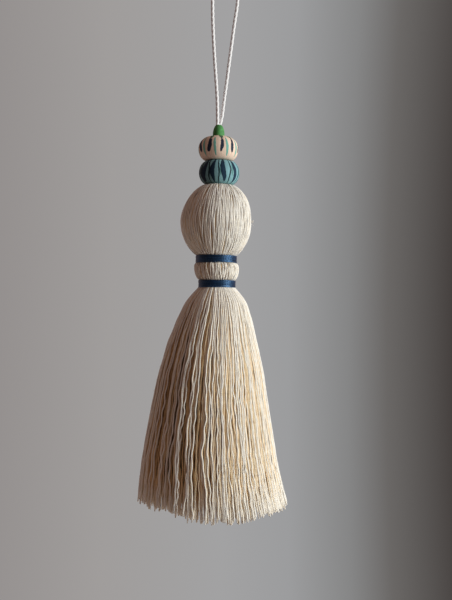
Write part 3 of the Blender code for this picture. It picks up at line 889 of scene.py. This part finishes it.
def skirt_yarns(layer, before, total, settings, material):
    """One layer of the skirt's hanging yarns, in one piece.

    At the binding, yarn number n of all, counted from the outside in, lies at the share
    sqrt(1 - (n / total) ^ 1.4) of the outline's radius, as in a full bundle.  Further down it
    moves to its layer's own share.  Its angle is the sum of its even place, its pull towards the
    middle of its lock and of its bundle, a slow drift, the swing of its lock and small swings of
    its own, each a sum of sines that grows with depth.
    """
    name, setting, kind, stations, sides, outer, inner, least, most, play, kinks = layer
    yarns = getattr(settings, setting)
    chance = np.random.default_rng(before + 5)
    inside = chance.permutation(yarns)[:, None] / yarns
    rank = (before + yarns * inside) / total
    turn = (np.arange(yarns)[:, None] + chance.uniform(-0.26, 0.26, (yarns, 1))) / yarns
    turn = turn * FULL_TURN
    hem = hem_depth(turn) + 1.0 * MM * chance.normal(0.0, 1.0, (yarns, 1)).clip(-2.0, 2.0)
    hem = hem + 2.5 * MM * eased((rank - 0.30) / 0.6)
    start = -1.2 * MM                   # the yarns begin a little up inside the binding
    depth = start + (hem - start) * np.linspace(0.0, 1.0, stations) ** 1.12
    thick = settings.thickness * chance.uniform(0.84, 1.12, (yarns, 1))

    opened = eased_over(depth, 50.0) ** 0.8
    loose = looseness(turn)
    steady = np.minimum(loose, 1.0)
    if kind == "even":
        low = outer + (inner - outer) * inside ** 1.7
    else:
        low = 1.0 - (1.0 - outer - (inner - outer) * inside) * loose
    # Some of the loose yarns, on the left, lie deeper and are coloured as dark as the gaps:
    # painted shade
    sunk_and_shaded = eased((inside - 0.60) / 0.10) * eased((loose - 0.4) / 0.5) * (kind == "loose")
    low = low - 0.020 * sunk_and_shaded
    share = np.sqrt(1.0 - rank ** 1.4) * (1.0 - opened) + low * opened
    radius = soft_table(SKIRT_PROFILE, depth) * share - thick / 2.0
    radius = radius + (play * MM * steady * wander(chance, yarns, depth, 12.0, 45.0)
                       * eased_over(depth, 20.0))
    pulled, near = bundles(turn)
    lower = eased_over(depth, 64.0, 4.0) * (1.0 - 0.60 * eased_over(depth, 40.0, 75.0))
    radius = np.maximum(radius + 0.32 * MM * steady * near * lower, 0.8 * MM)
    flare = np.clip((depth - hem + 24.0 * MM) / (24.0 * MM), 0.0, 1.0) ** 2
    radius = radius + 1.5 * MM * eased(np.sin(turn) * 1.5) * flare

    locks = max(8, round(yarns / YARNS_A_LOCK))
    lock = np.floor(turn / FULL_TURN * locks).astype(int)[:, 0]
    middle = ((lock + 0.5) / locks * FULL_TURN)[:, None]
    lock = lock % locks
    pull = chance.uniform(0.0, 0.28, locks)[lock][:, None]
    gather = pull * eased_over(depth, 80.0) * eased_over(hem * 1.35 - depth, 60.0)
    shared = wander(chance, locks, np.tile(depth[:1], (locks, 1)), 20.0, 60.0)[lock]
    slow = wander(chance, yarns, depth, 30.0, 90.0)
    fine = wander(chance, yarns, depth, 6.0, 17.0)
    growth = 0.35 + 0.65 * eased_over(depth, 70.0)
    sideways = growth * MM * (0.30 * shared + 0.24 * slow + kinks * (0.70 + 0.30 * steady) * fine)
    drift = chance.normal(0.0, 0.8 * MM, (yarns, 1)) * depth / SKIRT_LENGTH
    angle = (turn + (middle - turn) * gather + pulled * lower
             + (sideways + drift) / np.maximum(radius, 6.0 * MM))
    paths, out = round_axis(angle, radius, LOWER_BASE - depth)

    thick = thick * (1.0 + 0.04 * wander(chance, yarns, depth, 4.0, 14.0))
    thick = thick * (1.0 - 0.22 * eased_over(depth - hem, 2.0, -2.0))
    # Deeper layers and yarns further in get more tint: painted shade; the rest is their own random
    # tone
    tint = least + (most - least) * (0.65 * inside + 0.35 * chance.random((yarns, 1)))
    # Near the binding the crowded inner yarns are darker still: painted shade
    tint = tint + 0.30 * eased((rank - 0.1) / 0.5) * (1.0 - opened) * (1.0 - tint)
    # Darker where the layers stand looser, on the left, and the sunk loose yarns as dark as the
    # gaps: painted shade
    tint = np.maximum(tint * (0.88 + 0.63 * loose), 1.15 * sunk_and_shaded)
    # Paler at the ends, partly frayed dry ends and partly painted light through the thin hem, and
    # a little paler lower down: painted light
    tint = (tint * (1.0 - 0.75 * eased_over(depth - hem, 22.0, -22.0))
            * (1.0 - 0.12 * eased_over(depth, 45.0, 65.0)))
    return tubes(name, paths, thick / 2.0, sides, out, material, tint)


class TASSEL_OT_skirt(bpy.types.Operator):
    """Make the skirt of loose hanging yarns, layer by layer from the outside in"""
    bl_idname = "tassel.skirt"
    bl_label = "Skirt"

    def execute(self, context):
        settings = context.scene.tassel_yarn
        counts = [getattr(settings, layer[1]) for layer in SKIRT_LAYERS]
        for number, layer in enumerate(SKIRT_LAYERS):
            piece = skirt_yarns(layer, sum(counts[:number]), sum(counts), settings,
                                yarn_finish(context))
            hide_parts("yarn_tassel")
        return {"FINISHED"}


def skirt_fibres(chance, fibres, along):
    """Fibres that start in the skirt's outside and lean out of it, bent sideways."""
    turn = chance.uniform(0.0, FULL_TURN, (fibres, 1))
    depth = (hem_depth(turn) - 4.0 * MM) * chance.uniform(0.08, 1.0, (fibres, 1)) ** 0.7
    reach = chance.uniform(2.0 * MM, 6.0 * MM, (fibres, 1))
    lift = chance.uniform(0.1, 0.5, (fibres, 1))
    below = depth + reach * chance.uniform(-0.4, 1.0, (fibres, 1)) * along
    radius = soft_table(SKIRT_PROFILE, below) - 0.8 * MM + reach * lift * along ** 1.4
    bend = chance.normal(0.0, 0.45, (fibres, 1))
    angle = turn + bend * reach * along ** 1.5 / radius
    return round_axis(angle, radius, LOWER_BASE - below)


def head_fibres(chance, fibres, tuft, along):
    """Short fibres all round the ball, the last of them in one small tuft on its right."""
    turn = chance.uniform(0.0, FULL_TURN, (fibres, 1))
    rise = chance.uniform(-0.85, 0.88, (fibres, 1))
    reach = chance.uniform(0.7 * MM, 1.8 * MM, (fibres, 1))
    turn[-tuft:] = chance.normal(1.54, 0.022, (tuft, 1))
    rise[-tuft:] = chance.normal(0.03, 0.022, (tuft, 1))
    reach[-tuft:] = chance.uniform(1.2 * MM, 2.7 * MM, (tuft, 1))
    radius = HEAD_RADIUS * np.cos(rise) - 0.5 * MM + reach * along
    height = (HEAD_CENTRE + HEAD_HALF * np.sin(rise)
              + reach * along ** 1.5 * chance.uniform(-0.6, 0.6, (fibres, 1)))
    angle = turn + chance.normal(0.0, 0.5, (fibres, 1)) * reach * along ** 1.5 / radius
    return round_axis(angle, radius, height)


class TASSEL_OT_stray_fibres(bpy.types.Operator):
    """Make the few fine fibres that stand off the yarn"""
    bl_idname = "tassel.stray_fibres"
    bl_label = "Stray fibres"

    def execute(self, context):
        settings = context.scene.tassel_yarn
        chance = np.random.default_rng(77)
        along = np.linspace(0.0, 1.0, 7)[None, :]
        parts = (skirt_fibres(chance, settings.skirt_fibres, along),
                 head_fibres(chance, settings.head_fibres, settings.tuft_fibres, along))
        paths, out = (np.concatenate(pair) for pair in zip(*parts))
        radii = np.full(paths.shape[:2], FIBRE_RADIUS) * (1.0 - 0.5 * along)
        piece = tubes("stray_fibres", paths, radii, 3, out, yarn_finish(context),
                      tint=0.0)
        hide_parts("yarn_tassel")
        return {"FINISHED"}


def winding(name, node, seed, settings, material):
    """One close helix of thread, and over it a second one that crosses the turns slowly.

    At the angle a the helix has sunk by a / 2 pi pitches, and its height and radius stray by
    sums of sines of the angle.
    """
    chance = np.random.default_rng(seed)
    (base, top), (front, back) = node_span(node), node_span(node, 1)
    radius, middle, half = (back - front) / 2.0, (top + base) / 2.0, settings.thickness / 2.0
    steps = 72                          # in one turn
    share = np.linspace(0.0, 1.0, settings.turns * steps + 1) + np.zeros((2, 1))
    angle = share * settings.turns * FULL_TURN
    stray = wander(chance, 2, angle * radius, 25.0, 90.0)
    close = top - half + (base - top + 2.0 * half) * share + 0.07 * MM * stray
    slow = middle + (top - base - 2.2 * half) / 2.0 * np.sin(share * FULL_TURN * 1.7 + 0.6)
    height = np.where([[True], [False]], close, slow)
    lie = radius - half + np.array([[0.05], [0.25]]) * MM
    lie = lie + 0.045 * MM * wander(chance, 2, angle * radius, 12.0, 40.0)
    paths, out = round_axis(angle, lie, height, sway(middle))
    flat = np.array([0.55, 0.95, 1.05, 0.95] * 2)
    return tubes(name, paths, np.full(lie.shape, half), 8, out, material,
                 lobes=flat)


def silky_thread(settings):
    """Glossy stranded thread: twist ridges, with lighter and darker strands."""
    thread = Finish("navy thread")
    around, along = thread.around_and_along()
    across, back, up = thread.parts(thread.place())
    ply = thread.maths("SINE", (around * 2.0 + along / THREAD_LAY) * FULL_TURN)
    strands = thread.vector(across * 90.0, back * 90.0, up * 1500.0)
    strands = thread.noise(strands, 1.0, 3.0, 0.6)
    # Lighter on the twist's ridges: painted light; the lighter and darker strands are the thread's
    # own
    shade = thread.mix(thread.step(strands, 0.38, 0.72) * 0.9 + ply * 0.08,
                       times(settings.colour, 0.4), times(settings.colour, 3.0))
    return thread.done(shade, ply * 0.5 + strands, 0.05 * MM, {
        "Roughness": 0.27 + strands * 0.24, "IOR": 1.7, "Specular IOR Level": 0.85,
        "Specular Tint": (0.27, 0.56, 1.0)})


class TASSEL_OT_bindings(bpy.types.Operator):
    """Make the two bindings: navy thread wound round the yarn in close turns"""
    bl_idname = "tassel.bindings"
    bl_label = "Thread bindings"

    def execute(self, context):
        settings = context.scene.tassel_binding
        material = silky_thread(settings)
        for name, node, seed in (("upper_thread", "upper_binding", 3),
                                 ("lower_thread", "lower_binding", 8)):
            piece = winding(name, node, seed, settings, material)
            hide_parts(node)
        return {"FINISHED"}


# ---------------- stage


def put_up(context, name, data, up, back, place):
    """A camera or light at a place, facing away from back, its top as near to up as it can be."""
    right = unit(np.cross(up, back))
    rows = np.eye(4)
    rows[:3] = np.stack([right, np.cross(back, right), back, place], axis=1)
    item = bpy.data.objects.new(name, data)
    item.matrix_world = Matrix(rows.tolist())
    context.scene.collection.objects.link(item)
    return item


def set_camera(context, settings):
    """Level and square on, turned a little about its own line of sight."""
    seen = 186.7 * MM                   # half of the view's height at the hanging line
    lean = 0.0142                       # turn about the line of sight
    data = bpy.data.cameras.new("camera")
    data.sensor_width = 36.0
    data.lens = data.sensor_width / 2.0 * settings.distance / seen
    data.clip_start, data.clip_end = 0.05, 20.0
    context.scene.camera = put_up(
        context, "camera", data, (-math.sin(lean), 0.0, math.cos(lean)), (0.0, -1.0, 0.0),
        (6.05 * MM, -settings.distance, -204.6 * MM))


def set_light(context, settings):
    """One large soft light, 71 degrees round to the right and 10 degrees up."""
    turn, rise, far, middle = math.radians(71.0), math.radians(10.0), 1.3, (0.0, 0.0, -0.22)
    back = np.array([math.sin(turn) * math.cos(rise), -math.cos(turn) * math.cos(rise),
                     math.sin(rise)])
    data = bpy.data.lights.new("key", "AREA")
    data.shape, data.size, data.size_y = "RECTANGLE", 0.70, 1.0
    data.energy, data.color = settings.key_power, (0.95, 0.985, 0.98)
    put_up(context, "key", data, (0.0, 0.0, 1.0), back, back * far + middle)


def set_surroundings(context, settings):
    """Grey that the camera sees, darker towards the right; what lights the tassel is weak and
    warm from the front and stronger from the wall behind."""
    context.scene.view_settings.view_transform = "Standard"
    context.scene.world = world = bpy.data.worlds.new("surroundings")
    world.use_nodes = True
    nodes = Nodes(world.node_tree)
    right, behind, above = nodes.parts(nodes.add("TexCoord").outputs["Generated"])
    grey = nodes.add("ValToRGB", {"stops": [
        (0.09, (0.300, 0.281, 0.276)), (0.28, (0.352, 0.336, 0.330)),
        (0.50, (0.362, 0.360, 0.364)), (0.62, (0.332, 0.334, 0.341)),
        (0.73, (0.237, 0.237, 0.238)), (0.80, (0.145, 0.137, 0.132)),
        (0.92, (0.056, 0.048, 0.045)), (1.00, (0.24, 0.235, 0.23))]}, {0: right * 1.6 + 0.5})
    seen = nodes.add("LightPath").outputs["Is Camera Ray"]
    shade = nodes.mix(nodes.step(behind, -0.3, 0.6), settings.fill, settings.wall)
    shade = nodes.mix(nodes.step(above, 0.1, 0.9), shade, settings.ceiling)
    nodes.feed(world.node_tree.nodes["Background"],
               {"Color": nodes.mix(seen, shade, grey.outputs[0])})


def set_floor(context):
    """A plain pale disc well below the tassel."""
    radius, drop, corners = 2.4, 1.3, 96
    angle = np.arange(corners) / corners * FULL_TURN
    rim = together(radius * np.cos(angle), radius * np.sin(angle), -drop)
    mesh = bpy.data.meshes.new("floor")
    mesh.from_pydata(rim.tolist(), [], [range(corners)])
    pale = Finish("pale floor")
    shade = pale.mix(pale.noise(pale.place(), 3.0), (0.74, 0.72, 0.70), (0.80, 0.78, 0.76))
    pale.feed(pale.shader, {"Base Color": shade, "Roughness": 0.9})
    mesh.materials.append(pale.material)
    floor = bpy.data.objects.new("floor", mesh)
    context.scene.collection.objects.link(floor)


class TASSEL_OT_stage(bpy.types.Operator):
    """Make the camera, the soft light, the plain grey surroundings and a pale floor"""
    bl_idname = "tassel.stage"
    bl_label = "Stage"

    def execute(self, context):
        settings = context.scene.tassel_stage
        set_camera(context, settings)
        set_light(context, settings)
        set_surroundings(context, settings)
        set_floor(context)
        return {"FINISHED"}


# ---------------- panel and registration


class TASSEL_PT_pieces(bpy.types.Panel):
    """List the tassel's pieces and their settings"""
    bl_idname = "TASSEL_PT_pieces"
    bl_label = "Beaded yarn tassel"
    bl_space_type = "VIEW_3D"
    bl_region_type = "UI"
    bl_category = "Tassel"

    def draw(self, context):
        for title, settings in SETTINGS.items():
            box = self.layout.box()
            for key in settings.__annotations__:
                box.prop(getattr(context.scene, title), key)
        for operator in OPERATORS:
            self.layout.operator(operator.bl_idname)


SETTINGS = {
    "tassel_cord": CordSettings, "tassel_beads": BeadSettings, "tassel_yarn": YarnSettings,
    "tassel_binding": BindingSettings, "tassel_stage": StageSettings,
}
OPERATORS = (
    TASSEL_OT_stage, TASSEL_OT_cord, TASSEL_OT_beads, TASSEL_OT_head, TASSEL_OT_skirt,
    TASSEL_OT_stray_fibres, TASSEL_OT_bindings,
)
CLASSES = (*SETTINGS.values(), *OPERATORS, TASSEL_PT_pieces)


def register():
    for item in CLASSES:
        bpy.utils.register_class(item)
    for title, settings in SETTINGS.items():
        setattr(bpy.types.Scene, title, bpy.props.PointerProperty(type=settings))


def unregister():
    for title in SETTINGS:
        delattr(bpy.types.Scene, title)
    for item in reversed(CLASSES):
        bpy.utils.unregister_class(item)


def main():
    register()
    for operator in OPERATORS:
        family, name = operator.bl_idname.split(".")
        getattr(getattr(bpy.ops, family), name)()


if __name__ == "__main__":
    main()
